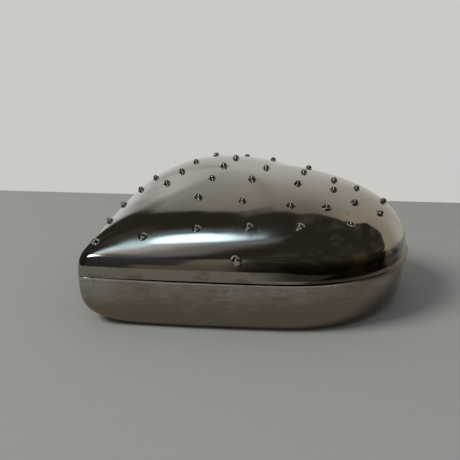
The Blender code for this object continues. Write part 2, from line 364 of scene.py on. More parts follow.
# Depth of the relief on the shells' outside, on dull metal and on the studs
SHELL_RELIEF = 0.00014
INSIDE_RELIEF = 0.00006
BEAD_RELIEF = 0.00003
# Where changes of a finish, its painted light and shade among them, begin and where they are
# done, along the heart or in height
TIP_HIGHLIGHT = (-0.0585, -0.042)
LOBE_LIGHTENING = (0.028, 0.052)
LIGHTENING_HEIGHT = (0.004, 0.012)
MATT_PAINTED_LIGHT_LIP = (-0.02, 0.012)
RIM_SHADE_PLACE = (-0.002, 0.02)
LIP_SHADE_START = (-0.021, -0.010)
LIP_SHADE_END = (0.028, 0.040)
SOLDER_HEIGHT = (0.0001, 0.0007)
# Below the top of the matt lip, which is painted lighter: over how much it fades, and where the
# painted shade in the lid's hollow begins and is full
LIP_BLUR = 0.0008
LIP_SHADE_DROPS = (0.0010, 0.0004)
# How unevenly the painted shade in the lid's hollow ends higher up, and over how much the
# painted highlight on the rim and the painted black shade on the bezel fade
LIP_SHADE_WOBBLE = 0.002
RIM_BLUR = 0.0004
# Above the lid's edge: where its dark foot of tarnish and painted shade fades, and the top of
# its matt lip, which is painted lighter
LID_FOOT_HEIGHTS = (0.0045, 0.0085)
LID_PAINTED_LIGHT_LIP_HEIGHT = 0.0018
# The bowl's dark foot of tarnish and painted shade, where its rim gets its painted highlight,
# and how far up the bezel is painted black as shade: from its underside, below its rim and
# above its rim
BOWL_FOOT_HEIGHT = 0.017
RIM_HIGHLIGHT_DROP = 0.0003
BEZEL_SHADE_HEIGHT = 0.0014


def new_material(name):
    made = bpy.data.materials.new(name)
    made.use_nodes = True
    return made, Sheet(made.node_tree)


def finish_metal(sheet, tint, roughness, relief, depth):
    """The metal itself, with its colour, polish and surface relief."""
    normal = sheet.node("ShaderNodeBump", None,
                        {"Strength": 1.0, "Distance": depth, "Height": relief})
    shader = sheet.node(
        "ShaderNodeBsdfPrincipled",
        None,
        {"Base Color": tint, "Metallic": 1.0, "Roughness": roughness, "Normal": normal},
    )
    sheet.node("ShaderNodeOutputMaterial", None, {"Surface": shader})


def polished_silver(name, finish, film, foot, pits, lip=0.0, rim=1.0, painted_shade=0.0):
    """Hand-polished plate: a slightly uneven skin, rub marks, pits and a warm film in patches.

    The foot says where the film grows darker, as tarnish and painted shade: (lowest height,
    height it fades out at, how much).
    Round the lobes the edge is matt below the lip's height and painted lighter, a painted
    reflection, with painted shade in the hollow above it.
    Above the rim's height the metal is painted lighter by the tip, a painted highlight, and
    painted darker round the lobes, painted shade. The factors in the sums are strengths.
    """
    made, sheet = new_material(name)
    spot = sheet.place()
    up = sheet.part(spot, "Z")
    along = sheet.part(spot, "Y")
    patches = sheet.noise(spot, *PATCHES)
    clouds = sheet.noise(spot, *CLOUDS)
    specks = sheet.noise(spot, *SPECKS)
    spots = sheet.noise(spot, *SPOTS)
    smudges = sheet.noise(sheet.place(SMUDGE_CLOSENESS), *SMUDGES)
    rubbed = sheet.noise(sheet.place(RUB_CLOSENESS), *RUB_MARKS)
    low, high, amount = foot
    # Painted shade: the film grows darker towards the foot, partly tarnish and partly standing in
    # for the shaded table that the low metal mirrors
    foot_tarnish_and_shade = (up + (clouds - 0.5) * (high - low) * 0.7).fade(low, high)
    uneven = patches + (clouds - 0.5) * 2 + (rubbed - 0.5) * 3.6
    tarnish_and_painted_light = film * 0.8 + uneven * (film * 0.25 + 0.02) + spots * (pits * 1.8)
    tarnish_and_painted_light = tarnish_and_painted_light + foot_tarnish_and_shade * (smudges * 0.4 + 1) * amount
    # Painted reflection: the lid's matt lip round the lobes is painted lighter, in place of the
    # bright table it mirrors
    edge = up.fade(lip - LIP_BLUR, lip) * along.smooth(*MATT_PAINTED_LIGHT_LIP)
    # Painted highlight at the tip and painted light round the lobes: the metal is painted lighter
    # there, above a low height
    painted_lightening = along.fade(*TIP_HIGHLIGHT) + along.smooth(*LOBE_LIGHTENING) * 1.9
    painted_lightening = painted_lightening * up.smooth(*LIGHTENING_HEIGHT) * (film * 0.4)
    # Painted highlight on the bowl's rim by the tip, and painted shade on it round the lobes,
    # beside the gap
    rim_highlight_and_shade = up.smooth(rim - RIM_BLUR, rim) * (0.7 - along.smooth(*RIM_SHADE_PLACE) * 1.1)
    tarnish_and_painted_light = tarnish_and_painted_light - edge * 0.3 - painted_lightening + specks * pits - rim_highlight_and_shade
    tint = sheet.blend(tarnish_and_painted_light, finish.silver, finish.tarnish)
    # Painted shade: the hollow above the lid's lip round the lobes is darkened with the dim side's
    # colour
    if painted_shade:
        lowest, full = (lip - drop for drop in LIP_SHADE_DROPS)
        hollow = along.band(LIP_SHADE_START, LIP_SHADE_END) * up.smooth(lowest, full)
        hollow = hollow * (up + (clouds - 0.5) * LIP_SHADE_WOBBLE).fade(low, high)
        tint = sheet.blend(hollow * painted_shade, tint, finish.dim)
    roughness = finish.polish + patches * 0.04 + specks * 0.1 + (rubbed - 0.5) * 0.04
    roughness = roughness + film * 0.06 + edge * 0.40
    relief = sheet.noise(spot, *BROAD_WAVES) + sheet.noise(spot, *FINE_WAVES) * 0.05
    relief = relief + rubbed * 0.004 - specks * pits * 0.1
    finish_metal(sheet, tint, roughness, relief, SHELL_RELIEF)
    return made


def dull_silver(name, finish, painted_shade=-1.0):
    """Plain metal of the inside, brushed and duller, and black up to a height if one is given."""
    made, sheet = new_material(name)
    spot = sheet.place()
    streaks = sheet.noise(sheet.place(BRUSH_CLOSENESS), *BRUSH_MARKS)
    film = sheet.noise(spot, *INSIDE_FILM)
    tint = sheet.blend(film * 0.45, finish.inside, finish.tarnish)
    # Painted shade: below the given height the metal is painted black, for the bezel in the gap
    # under the lid
    painted_black_shade = sheet.part(spot, "Z").fade(painted_shade - RIM_BLUR, painted_shade)
    tint = sheet.blend(painted_black_shade, tint, finish.dim)
    finish_metal(sheet, tint, 0.20 + streaks * 0.14, streaks, INSIDE_RELIEF)
    return made


def stud_silver(name, finish):
    """Polished bead that is darker where the solder meets the lid."""
    made, sheet = new_material(name)
    spot = sheet.place()
    solder = sheet.part(spot, "Z").fade(*SOLDER_HEIGHT)
    tint = sheet.blend(solder * 0.55, finish.silver, finish.tarnish)
    grain = sheet.noise(spot, *BEAD_GRAIN)
    finish_metal(sheet, tint, finish.polish + 0.03 + solder * 0.08, grain, BEAD_RELIEF)
    return made


def plain_paint(name, tint):
    """Even matt surface with a very faint grain."""
    made, sheet = new_material(name)
    grain = sheet.noise(sheet.place(), *PAINT_GRAIN)
    darker, paler = (tuple(min(part * level, 1.0) for part in tint) for level in (0.97, 1.03))
    shade = sheet.blend(grain, darker, paler)
    shader = sheet.node("ShaderNodeBsdfPrincipled", None, {"Base Color": shade, "Roughness": 0.9})
    sheet.node("ShaderNodeOutputMaterial", None, {"Surface": shader})
    return made


# The heart's outline

# Steps round the half outline: tip, side, shoulder, lobe and notch
OUTLINE_STEPS = (4, 15, 12, 12, 5)
# Where, from tip to notch, the lips begin to turn out, and where they have done so
LIP_STRETCH_SHARES = (0.34, 0.60)


def arc(centre, radius, start, end, steps, hollow=False):
    """Points and outward normals along an arc, without its last point."""
    points = []
    for step in range(steps):
        turn = start + (end - start) * step / steps
        outward = Vector((math.cos(turn), math.sin(turn)))
        points.append((centre + outward * radius, -outward if hollow else outward))
    return points


def direction_angle(start, end):
    return math.atan2(end.y - start.y, end.x - start.x)


def lobe_radius(heart):
    """Radius of the lobe arc that joins the shoulder to a notch of the given depth."""
    cosine = math.cos(heart.lobe_turn)
    reach = heart.shoulder_spread / 2 + heart.shoulder_radius * cosine
    middle = reach * cosine + heart.notch_depth
    rest = reach ** 2 + heart.notch_depth ** 2 - 2 * heart.notch_depth * heart.notch_radius
    return (middle - math.sqrt(middle ** 2 - cosine ** 2 * rest)) / cosine ** 2


def heart_centres(heart):
    """Centres of the shoulder, side, lobe and notch arcs of the right half."""
    lobe = lobe_radius(heart)
    turn = Vector((math.cos(heart.lobe_turn), math.sin(heart.lobe_turn)))
    step = turn * (heart.shoulder_radius - lobe)
    top = heart.heart_length / 2
    lobe_centre = Vector((heart.shoulder_spread / 2 + step.x, top - lobe))
    shoulder_centre = lobe_centre - step
    tip_centre = Vector((0, heart.tip_radius - top))
    across = shoulder_centre - tip_centre
    from_tip = heart.side_radius - heart.tip_radius
    from_shoulder = heart.side_radius - heart.shoulder_radius
    reach = across.length
    along = (from_tip ** 2 - from_shoulder ** 2 + reach ** 2) / (2 * reach)
    aside = math.sqrt(from_tip ** 2 - along ** 2)
    way = across.normalized()
    side_centre = tip_centre + way * along + Vector((-way.y, way.x)) * aside
    notch_centre = Vector((0, top - heart.notch_depth + heart.notch_radius))
    return shoulder_centre, side_centre, lobe_centre, notch_centre


def heart_half(heart, inset, tip_radius=None):
    """Right half of the outline, from the tip to the notch, moved in by the inset."""
    tip_radius = heart.tip_radius if tip_radius is None else tip_radius
    shoulder, side, lobe, notch = heart_centres(heart)
    reach = heart.side_radius - inset - tip_radius
    tip = Vector((0, side.y - math.sqrt(reach ** 2 - side.x ** 2)))
    tip_turn = direction_angle(side, tip)
    shoulder_turn = direction_angle(side, shoulder)
    notch_turn = direction_angle(lobe, notch)
    steps = OUTLINE_STEPS
    points = arc(tip, tip_radius, -math.pi / 2, tip_turn, steps[0])
    points += arc(side, heart.side_radius - inset, tip_turn, shoulder_turn, steps[1])
    points += arc(shoulder, heart.shoulder_radius - inset, shoulder_turn, heart.lobe_turn,
                  steps[2])
    points += arc(lobe, lobe_radius(heart) - inset, heart.lobe_turn, notch_turn, steps[3])
    points += arc(notch, heart.notch_radius + inset, notch_turn - math.pi, -math.pi / 2,
                  steps[4], hollow=True)
    points.append((notch - Vector((0, heart.notch_radius + inset)), Vector((0, 1))))
    return points


def half_width_at(heart, along):
    """How far out the outline lies on one side, at a distance along the heart."""
    points = [point for point, _ in heart_half(heart, 0)]
    for before, after in zip(points, points[1:]):
        if before.y <= along <= after.y:
            part = (along - before.y) / (after.y - before.y)
            return before.x + (after.x - before.x) * part
    return 0


def rim_shares(heart):
    """How far each point of the half outline lies from the tip, as a share of its length."""
    points = [point for point, _ in heart_half(heart, 0)]
    lengths = [0.0]
    for before, after in zip(points, points[1:]):
        lengths.append(lengths[-1] + (after - before).length)
    return [reached / lengths[-1] for reached in lengths]


def ease(value, start, end):
    """Smooth step from 0 to 1 between two values."""
    rise = min(max((value - start) / (end - start), 0.0), 1.0)
    return rise * rise * (3 - 2 * rise)


def read_table(table, value):
    """Smoothly read a table of (place, level)."""
    for (start, low), (end, high) in zip(table, table[1:]):
        if value <= end:
            return low + (high - low) * ease(value, start, end)
    return table[-1][1]


def heart_line(box, inset, tip_radius=None, under_lip=True):
    """Points of the half outline, with the lip's flare taken off or kept."""
    line = []
    for (point, outward), reached in zip(heart_half(box.outline, inset, tip_radius),
                                         rim_shares(box.outline)):
        flare = box.shells.flare * ease(reached, *LIP_STRETCH_SHARES)
        line.append(point - outward * flare if under_lip else point)
    return line


def half_turned_line(box):
    """Line half way between a shell's wall and the edge of its lip."""
    return [(low + high) / 2 for low, high in zip(
        heart_line(box, 0), heart_line(box, 0, under_lip=False))]


# The shells

# The dome's level lines, as shares of its edge
LID_LEVEL_SHARES = (
    0.9985, 0.994, 0.984, 0.966, 0.935, 0.895, 0.84, 0.77, 0.68, 0.58, 0.47, 0.36,
    0.26, 0.17, 0.09, 0.03,
)
# Height of the gap under the lid's edge, as (share of the way from tip to notch, share of the
# widest gap): the lid sits close at the tip and stands off round the lobes
GAP_SHARES = (
    (0.0, 0.14), (0.06, 0.20), (0.13, 0.48), (0.22, 0.56), (0.32, 0.42), (0.42, 0.80),
    (0.52, 0.90), (0.62, 1.00), (0.72, 0.86), (0.85, 0.60), (1.0, 0.50),
)
# Where, from tip to notch, the dome begins to fill out, and where it has done so
LOBE_STRETCH_SHARES = (0.25, 0.65)
# How far from its edge, as a share of its height, each lip is turned out by half
BOWL_LIP_SHARE = 0.45
LID_LIP_SHARE = 0.55
# Steps up the bowl's wall, and the rows of its underside as shares of its foot
BOWL_STEPS = 10
UNDERSIDE_SHARES = (0.97, 0.85, 0.6, 0.3, 0.06)
# Rows at the lid's edge that stay as they are when the dome is planished
EDGE_ROWS = 6
# Points nearer to each other than this become one
WELD = 0.00001


def lid_line(box, shrink):
    """Half level line of the dome: the heart drawn in, and rounded off to the crown's oval."""
    shells = box.shells
    centre = Vector((0, shells.heart_centre))
    crown = Vector((0, shells.crown_forward))
    keep = shrink ** shells.crown_blend
    tip = box.outline.tip_radius
    tip_radius = tip + (shells.ridge_radius - tip) * (1 - shrink) ** shells.ridge_power
    line = []
    for point, reached in zip(heart_line(box, 0, tip_radius), rim_shares(box.outline)):
        fuller = shells.lobe_fullness * ease(reached, *LOBE_STRETCH_SHARES)
        span = shrink ** (1 - fuller)
        away = point - crown
        turn = math.atan2(away.y / shells.crown_half_length, away.x / shells.crown_half_width)
        oval = Vector((shells.crown_half_width * math.cos(turn),
                       shells.crown_half_length * math.sin(turn)))
        drawn_in = centre + (point - centre) * span
        line.append(drawn_in * keep + (crown + oval * span) * (1 - keep))
    return line


def lid_height(box, shrink):
    """Height of a level line above the lip: steep walls, and a crown without a peak."""
    shells = box.shells
    soft = shells.crown_softness
    span = (math.hypot(shrink, soft) - soft) / (math.hypot(1, soft) - soft)
    rise = (1 - span ** shells.span_power) ** (1 / shells.rise_power)
    return (shells.lid_rise - shells.lip_height) * rise


def bowl_line(box, drawn_share):
    """Half level line of the bowl, drawn in by a share of what its foot is."""
    tip = box.outline.tip_radius
    tip_radius = tip + (box.shells.keel_radius - tip) * drawn_share
    return heart_line(box, box.shells.bowl_inset * drawn_share, tip_radius)


def drawn_in_share(box, height):
    """How far the bowl's outer wall has drawn in at a height, as a share of its foot."""
    shells = box.shells
    sine = (1 - height / (shells.seam_height - shells.lip_height)) ** (shells.bowl_power / 2)
    return 1 - math.sqrt(1 - sine ** 2) ** (2 / shells.bowl_power)


def loft(bm, levels):
    """Skin between half lines, each a list of points, joined to the next one up."""
    rows = [[bm.verts.new(point) for point in level] for level in levels]
    for lower, upper in zip(rows, rows[1:]):
        for place in range(len(lower) - 1):
            bm.faces.new((lower[place], lower[place + 1], upper[place + 1], upper[place]))
    return rows


def raised(line, heights):
    """Give a flat line its height, one for all points or one for each."""
    if not isinstance(heights, list):
        heights = [heights] * len(line)
    return [(point.x, point.y, height) for point, height in zip(line, heights)]


def finish_mesh(bm, name):
    mesh = bpy.data.meshes.new(name)
    bm.to_mesh(mesh)
    bm.free()
    mesh.shade_smooth()
    return mesh


def add_piece(name, mesh, material, node):
    """Put a piece in the scene in place of its CAD node."""
    piece = bpy.data.objects.new(name, mesh)
    if not mesh.materials:
        mesh.materials.append(material)
    bpy.context.scene.collection.objects.link(piece)
    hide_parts(node)
    return piece


def dress_shell(piece, shells, thickness, crease, inside, dome=()):
    """Mirror the half skin, give it its wall with a dull inner face, and smooth it."""
    piece.data.materials.append(inside)
    halves = piece.modifiers.new("halves", "MIRROR")
    halves.merge_threshold = WELD
    if dome:
        piece.vertex_groups.new(name="dome").add(dome, 1.0, "REPLACE")
        planish = piece.modifiers.new("planish", "SMOOTH")
        planish.vertex_group = "dome"
        planish.factor = shells.planish
        planish.iterations = shells.planish_rounds
    sheet = piece.modifiers.new("sheet", "SOLIDIFY")
    sheet.thickness = thickness
    sheet.offset = -1.0
    sheet.use_even_offset = True
    sheet.material_offset = 1
    sheet.material_offset_rim = 0
    sheet.edge_crease_rim = crease
    sheet.edge_crease_outer = crease
    sheet.edge_crease_inner = crease
    smooth = piece.modifiers.new("smooth", "SUBSURF")
    smooth.levels = shells.smooth_levels
    smooth.render_levels = shells.smooth_levels


class HEARTBOX_OT_base_bowl(bpy.types.Operator):
    """Make the bowl, from its flat underside up to its turned-out rim"""

    bl_idname = "heartbox.base_bowl"
    bl_label = "Base Bowl"

    def execute(self, context):
        box = context.scene.heart_box
        shells = box.shells
        wall_top = shells.seam_height - shells.lip_height
        power = 2 / shells.bowl_power
        bm = bmesh.new()
        levels = []
        for step in range(BOWL_STEPS, -1, -1):
            turn = math.pi / 2 * step / BOWL_STEPS
            height = wall_top * (1 - math.sin(turn) ** power)
            levels.append(raised(bowl_line(box, 1 - math.cos(turn) ** power), height))
        lip_height = shells.seam_height - shells.lip_height * BOWL_LIP_SHARE
        levels.append(raised(half_turned_line(box), lip_height))
        levels.append(raised(heart_line(box, 0, under_lip=False), shells.seam_height))
        foot = loft(bm, levels)[0]
        self.close_foot(bm, foot, box)
        mesh = finish_mesh(bm, "base_polished")
        # The bowl's foot is darkened with tarnish and painted shade; its rim gets a painted
        # highlight by the tip and painted shade round the lobes
        silver = polished_silver("base_silver", box.finish, film=0.86, pits=0.5,
                                 foot=(0.0, BOWL_FOOT_HEIGHT, 0.42),
                                 rim=shells.seam_height - RIM_HIGHLIGHT_DROP)
        piece = add_piece("base_polished", mesh, silver, "base_bowl")
        inside = dull_silver("base_inside", box.finish)
        dress_shell(piece, shells, shells.wall, shells.rim_crease, inside)
        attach(piece, "base")
        return {"FINISHED"}

    @staticmethod
    def close_foot(bm, foot, box):
        """Fill the underside with rows that shrink towards its middle."""
        middle = Vector((0, box.shells.crown_forward, 0))
        inner = foot
        for keep in UNDERSIDE_SHARES:
            row = [bm.verts.new(middle + (vert.co - middle) * keep) for vert in foot]
            for place in range(len(foot) - 1):
                bm.faces.new((row[place], row[place + 1], inner[place + 1], inner[place]))
            inner = row
        centre = bm.verts.new(middle)
        for before, after in zip(inner, inner[1:]):
            bm.faces.new((before, centre, after))


class HEARTBOX_OT_lid_shell(bpy.types.Operator):
    """Make the domed lid, whose edge stands off the bowl round the lobes"""

    bl_idname = "heartbox.lid_shell"
    bl_label = "Lid Shell"

    def execute(self, context):
        box = context.scene.heart_box
        shells = box.shells
        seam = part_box("lid_shell")[0].z
        lip_top = seam + shells.lip_height
        edge = [shells.seam_height + shells.gap * read_table(GAP_SHARES, reached)
                for reached in rim_shares(box.outline)]
        bm = bmesh.new()
        levels = [
            raised(heart_line(box, 0, under_lip=False), edge),
            raised(half_turned_line(box), seam + shells.lip_height * LID_LIP_SHARE),
            raised(heart_line(box, 0), lip_top),
        ]
        for shrink in LID_LEVEL_SHARES:
            levels.append(raised(lid_line(box, shrink), lip_top + lid_height(box, shrink)))
        highest = loft(bm, levels)[-1]
        top = bm.verts.new((0, shells.crown_forward, seam + shells.lid_rise))
        for before, after in zip(highest, highest[1:]):
            bm.faces.new((before, after, top))
        mesh = finish_mesh(bm, "lid_polished")
        # The lid's foot is darkened with tarnish and painted shade, its lip round the lobes is
        # painted lighter, and its hollow above the lip gets painted shade
        low, high = (seam + height for height in LID_FOOT_HEIGHTS)
        silver = polished_silver("lid_silver", box.finish, film=0.05, pits=0.12, painted_shade=0.85,
                                 foot=(low, high, 0.72), lip=seam + LID_PAINTED_LIGHT_LIP_HEIGHT)
        piece = add_piece("lid_polished", mesh, silver, "lid_shell")
        dome = list(range(len(levels[0]) * EDGE_ROWS, len(mesh.vertices)))
        inside = dull_silver("lid_inside", box.finish)
        dress_shell(piece, shells, shells.wall, shells.rim_crease, inside, dome)
        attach(piece, "lid")
        return {"FINISHED"}


class HEARTBOX_OT_inner_bezel(bpy.types.Operator):
    """Make the bezel that stands inside the bowl's rim"""

    bl_idname = "heartbox.inner_bezel"
    bl_label = "Inner Bezel"

    def execute(self, context):
        box = context.scene.heart_box
        shells = box.shells
        fittings = box.fittings
        low, high = (corner.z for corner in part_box("inner_bezel"))
        drawn_share = drawn_in_share(box, low)
        clear = shells.wall + fittings.clearance + shells.bowl_inset * drawn_share
        tip_radius = box.outline.tip_radius + shells.keel_radius * drawn_share
        bm = bmesh.new()
        wall = heart_line(box, clear, tip_radius)
        led_in = heart_line(box, clear + fittings.bezel_lead / 2, tip_radius)
        loft(bm, [raised(wall, low), raised(wall, (low + high) / 2),
                  raised(wall, high - fittings.bezel_lead), raised(led_in, high)])
        mesh = finish_mesh(bm, "bezel_wall")
        # The bezel is painted black up to just above the rim, as painted shade in the gap
        plain = dull_silver("bezel_silver", box.finish, shells.seam_height + BEZEL_SHADE_HEIGHT)
        piece = add_piece("bezel_wall", mesh, plain, "inner_bezel")
        dress_shell(piece, shells, fittings.bezel_thickness, fittings.bezel_crease, plain)
        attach(piece, "base")
        return {"FINISHED"}


# The studs

# How far out each stud stands, as a share of the heart's half width there, and how far along,
# as a share of its half length
STUD_PLACE_SHARES = (
    (0.00, -0.89), (0.50, -0.69), (0.59, -0.45), (0.695, -0.24), (0.795, -0.04),
    (0.865, 0.215), (0.85, 0.50), (0.77, 0.70), (0.96, -0.385), (0.315, 0.84),
    (-0.65, -0.66), (-0.805, -0.42), (-0.745, -0.23), (-0.71, -0.07), (-0.925, 0.22),
    (-0.87, 0.44), (-0.825, 0.64), (-0.76, 0.82), (-0.325, 0.84),
    (0.17, -0.27), (0.405, -0.125), (0.615, 0.03), (0.725, 0.175), (0.75, 0.37),
    (0.625, 0.555), (0.17, 0.60),
    (-0.40, -0.19), (-0.44, -0.01), (-0.46, 0.14), (-0.56, 0.40), (-0.49, 0.61),
    (-0.20, 0.61),
    (-0.01, -0.065), (0.215, 0.07), (0.455, 0.21), (0.61, 0.345), (0.50, 0.475),
    (-0.135, 0.125), (0.095, 0.285), (0.305, 0.41), (-0.275, 0.345),
)
# Steps of a stud's skirt and of its bead
SKIRT_STEPS = 5
BEAD_STEPS = 10
# How far above the bead's middle the skirt meets it, and the least bend that stays sharp
WAIST_ANGLE = math.radians(15)
SHARP_ANGLE = math.radians(60)
# How deep a stud sinks into the lid, as a share of the sheet
SINK_SHARE = 0.08
# From each stud to the next: its turn about its own axis, and the swing of its size
STUD_SPIN = 2.4
STUD_SWING = 1.7
STUD_SWING_SHARE = 0.05


class HEARTBOX_OT_studs(bpy.types.Operator):
    """Set a soldered bead square to the lid's skin at each stud's place"""

    bl_idname = "heartbox.studs"
    bl_label = "Studs"

    def execute(self, context):
        box = context.scene.heart_box
        lid = bpy.data.objects.get("lid_polished")
        if lid is None:
            raise RuntimeError("the studs need the lid: make the lid first")
        graph = context.evaluated_depsgraph_get()
        tree = BVHTree.FromObject(lid, graph)
        silver = stud_silver("stud_silver", box.finish)
        mesh = self.bead(context, box.fittings)
        for number, (out_share, along_share) in enumerate(STUD_PLACE_SHARES, start=1):
            along = along_share * box.outline.heart_length / 2
            out = out_share * half_width_at(box.outline, along)
            start = Vector((out, along, CAD_BOUNDS[1][2] + box.shells.wall))
            seat, normal, _, _ = tree.ray_cast(start, Vector((0, 0, -1)))
            if seat is None:
                raise RuntimeError(f"stud {number} misses the lid")
            stud = add_piece(f"bead_{number:02d}", mesh, silver,
                             f"stud_{number:02d}")
            sunk = Matrix.Translation(seat - normal * box.shells.wall * SINK_SHARE)
            turn = normal.to_track_quat("Z", "Y").to_matrix().to_4x4()
            spin = Matrix.Rotation(number * STUD_SPIN, 4, "Z")
            size = 1.0 + STUD_SWING_SHARE * math.sin(number * STUD_SWING)
            stud.matrix_world = sunk @ turn @ spin @ Matrix.Scale(size, 4)
            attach(stud, "lid")
        return {"FINISHED"}

    @staticmethod
    def section(fittings):
        """A stud's section, from the middle of its foot over its skirt and waist to its top."""
        bead = fittings.bead_radius
        skirt = fittings.skirt_radius
        middle = fittings.stud_height - bead
        points = [(0.0, 0.0), (skirt, 0.0)]
        waist_radius = bead * math.cos(WAIST_ANGLE)
        waist_height = middle + bead * math.sin(WAIST_ANGLE)
        for step in range(1, SKIRT_STEPS):
            turn = math.pi / 2 * step / SKIRT_STEPS
            points.append((skirt - (skirt - waist_radius) * math.sin(turn),
                           waist_height * (1 - math.cos(turn))))
        for step in range(BEAD_STEPS):
            turn = WAIST_ANGLE + (math.pi / 2 - WAIST_ANGLE) * step / BEAD_STEPS
            points.append((bead * math.cos(turn), middle + bead * math.sin(turn)))
        points.append((0.0, fittings.stud_height))
        return points

    def bead(self, context, fittings):
        """Turn the stud's section: a hollow skirt, a waist and a round bead."""
        points = self.section(fittings)
        section = bpy.data.meshes.new("stud_section")
        section.from_pydata([(radius, 0, height) for radius, height in points],
                            [(place, place + 1) for place in range(len(points) - 1)], [])
        guide = bpy.data.objects.new("stud_section", section)
        context.scene.collection.objects.link(guide)
        turned = guide.modifiers.new("turn", "SCREW")
        turned.steps = fittings.stud_sides
        turned.render_steps = fittings.stud_sides
        turned.use_merge_vertices = True
        turned.merge_threshold = WELD
        graph = context.evaluated_depsgraph_get()
        mesh = bpy.data.meshes.new_from_object(guide.evaluated_get(graph))
        mesh.name = "stud_bead"
        bpy.data.objects.remove(guide, do_unlink=True)
        bm = bmesh.new()
        bm.from_mesh(mesh)
        bmesh.ops.remove_doubles(bm, verts=bm.verts, dist=WELD)
        bmesh.ops.recalc_face_normals(bm, faces=bm.faces)
        bm.to_mesh(mesh)
        bm.free()
        mesh.shade_smooth()
        mesh.set_sharp_from_angle(angle=SHARP_ANGLE)
        return mesh


# The room that polished metal mirrors

# The wall behind, as (share of the way up, tone)
WALL_TONES = (
    (0.0, (0.58, 0.58, 0.57)), (0.2, (0.50, 0.495, 0.48)), (0.6, (0.435, 0.42, 0.394)),
    (0.8, (0.31, 0.292, 0.262)), (0.9, (0.19, 0.172, 0.145)), (1.0, (0.13, 0.115, 0.09)),
)
# Places in the room are given as the Room says. A pair is a smooth step: where it begins and
# where it is done.
# The least up and front parts of a direction by which places are reckoned, and what is in front
LEAST_UP = 0.2
LEAST_FRONT = 0.02
IN_FRONT = (0.1, 0.3)
# The window strip: its middle across and along, its bend, how narrow it is across and along,
# its edge and how high up it starts
WINDOW_PLACE = (-0.185, -0.065)
WINDOW_BEND = 12.0
WINDOW_TIGHTNESS = (140.0, 56.0)
WINDOW_EDGE = (0.0, 1.7)
WINDOW_RISE = (0.4, 0.6)
# The halo round it, which loses most of its strength on the right
HALO_EDGE = (0.0, 5.5)
HALO_END = (-0.16, -0.06)
HALO_LOSS = 0.7
HALO_STRENGTH = 0.11
# The line that the trail, the glow and the haze follow
SLANT = 0.49
SLANT_SHIFT = 0.27
# The trail from the window towards the camera, whose left side steps in where it begins
TRAIL_STEP = 0.035
TRAIL_STEP_PLACE = (-0.1, 0.12)
TRAIL_SIDES = ((-0.05, -0.015), (-0.01, 0.07))
TRAIL_ENDS = ((-0.2, 0.1), (0.5, 1.0))
TRAIL_RISE = (0.5, 0.66)
TRAIL_STRENGTH = 0.38
# The glow beside it, which loses some of its strength towards the camera
GLOW_SIDES = ((-0.10, 0.02), (0.24, 0.38))
GLOW_START = (0.02, 0.25)
GLOW_RISE = (0.45, 0.72)
GLOW_FADE = (0.55, 0.95)
GLOW_LOSS = 0.5
# The haze between the two, and how its streaks set off
HAZE_SIDES = ((-0.01, 0.03), (0.08, 0.21))
HAZE_ENDS = ((-0.1, 0.1), (0.44, 0.66))
HAZE_STREAKS = (38.0, 3.0, 0.7)
HAZE_CONTRAST = 1.1
HAZE_LEAST = 0.05
# The murk's pattern, with its distortion
MURK_CLOUDS = (4.2, 2.0, 0.5, (0.46, 0.74), 0.25)
# The small lamp: its turn from the camera, its rise and its edge
SPARK_ASIDE = math.radians(-44)
SPARK_RISE = math.radians(41)
SPARK_EDGE = (0.9938, 0.9978)
# What stands in front: its left side, its right side and its top
DIM_BLUE_PLACE = ((-0.8, -0.6), (-0.2, -0.05), (0.5, 0.7))
CARD_PLACE = ((-0.32, -0.28), (-0.16, -0.12), (0.60, 0.68))
LEDGE_PLACE = ((-0.44, -0.42), (-0.30, -0.26), (0.08, 0.22))
SHELF_PLACE = ((1.3, 2.2), (2.9, 4.2), (0.2, 0.55))
# Shade on the wall: where it ends on its right, where it begins in height, and its strength
WALL_SHADES = (((-0.2, 0.0), (0.22, 0.5), 0.32), ((-0.285, -0.215), (-0.03, 0.14), 0.5))
# The wall's warm right side, and where, to the right and far behind, it stays pale
WARM_SIDE = (0.0, 0.85)
PALE_CORNER = ((0.45, 0.88), (-0.85, -0.35))
CORNER_PALENESS = 0.9
# The wall's top edge: how far behind it lies for its height, how that changes going across, and
# how the edge comes down in the right corner
WALL_TOP = 0.44
WALL_TOP_STEPS = (
    ((-0.06, 0.08), -0.10), ((0.12, 0.40), -0.07), ((0.38, 0.55), -0.05), ((0.72, 1.2), 0.24),
)
CORNER_PLACE = (0.75, 0.95)
CORNER_DROP = 0.10
# The wall's left end: its slant, its lean and its small steps, one high up and one lower down
WALL_SLANT = 1.6
WALL_LEAN = 0.37
WALL_STEP = 0.03
HIGH_STEP_RISE = (0.872, 0.90)
LOW_STEP_PLACE = (-0.175, -0.14)
LOW_STEP_RISE = (0.86, 0.88)
# How softly both of these ends give way
WALL_BLUR = (-0.012, 0.03)
# How far the wall reaches forward on the left, and how soft that side is
REACH_SLANT = 0.35
REACH_BLUR = (-0.02, 0.04)
# Below this level, and this far forward, the metal sees no wall
TABLE_LEVEL = (-0.03, 0.0)
TABLE_FRONT = (-0.25, -0.13)


def level_axes(turn):
    """Level directions at a turn round the box: outwards, and to the right as seen from there."""
    outward = Vector((math.sin(turn), -math.cos(turn), 0))
    return outward, Vector((math.cos(turn), math.sin(turn), 0))


def direction(turn, rise):
    """Direction at a turn round the box and a rise above level."""
    return level_axes(turn)[0] * math.cos(rise) + Vector((0, 0, math.sin(rise)))


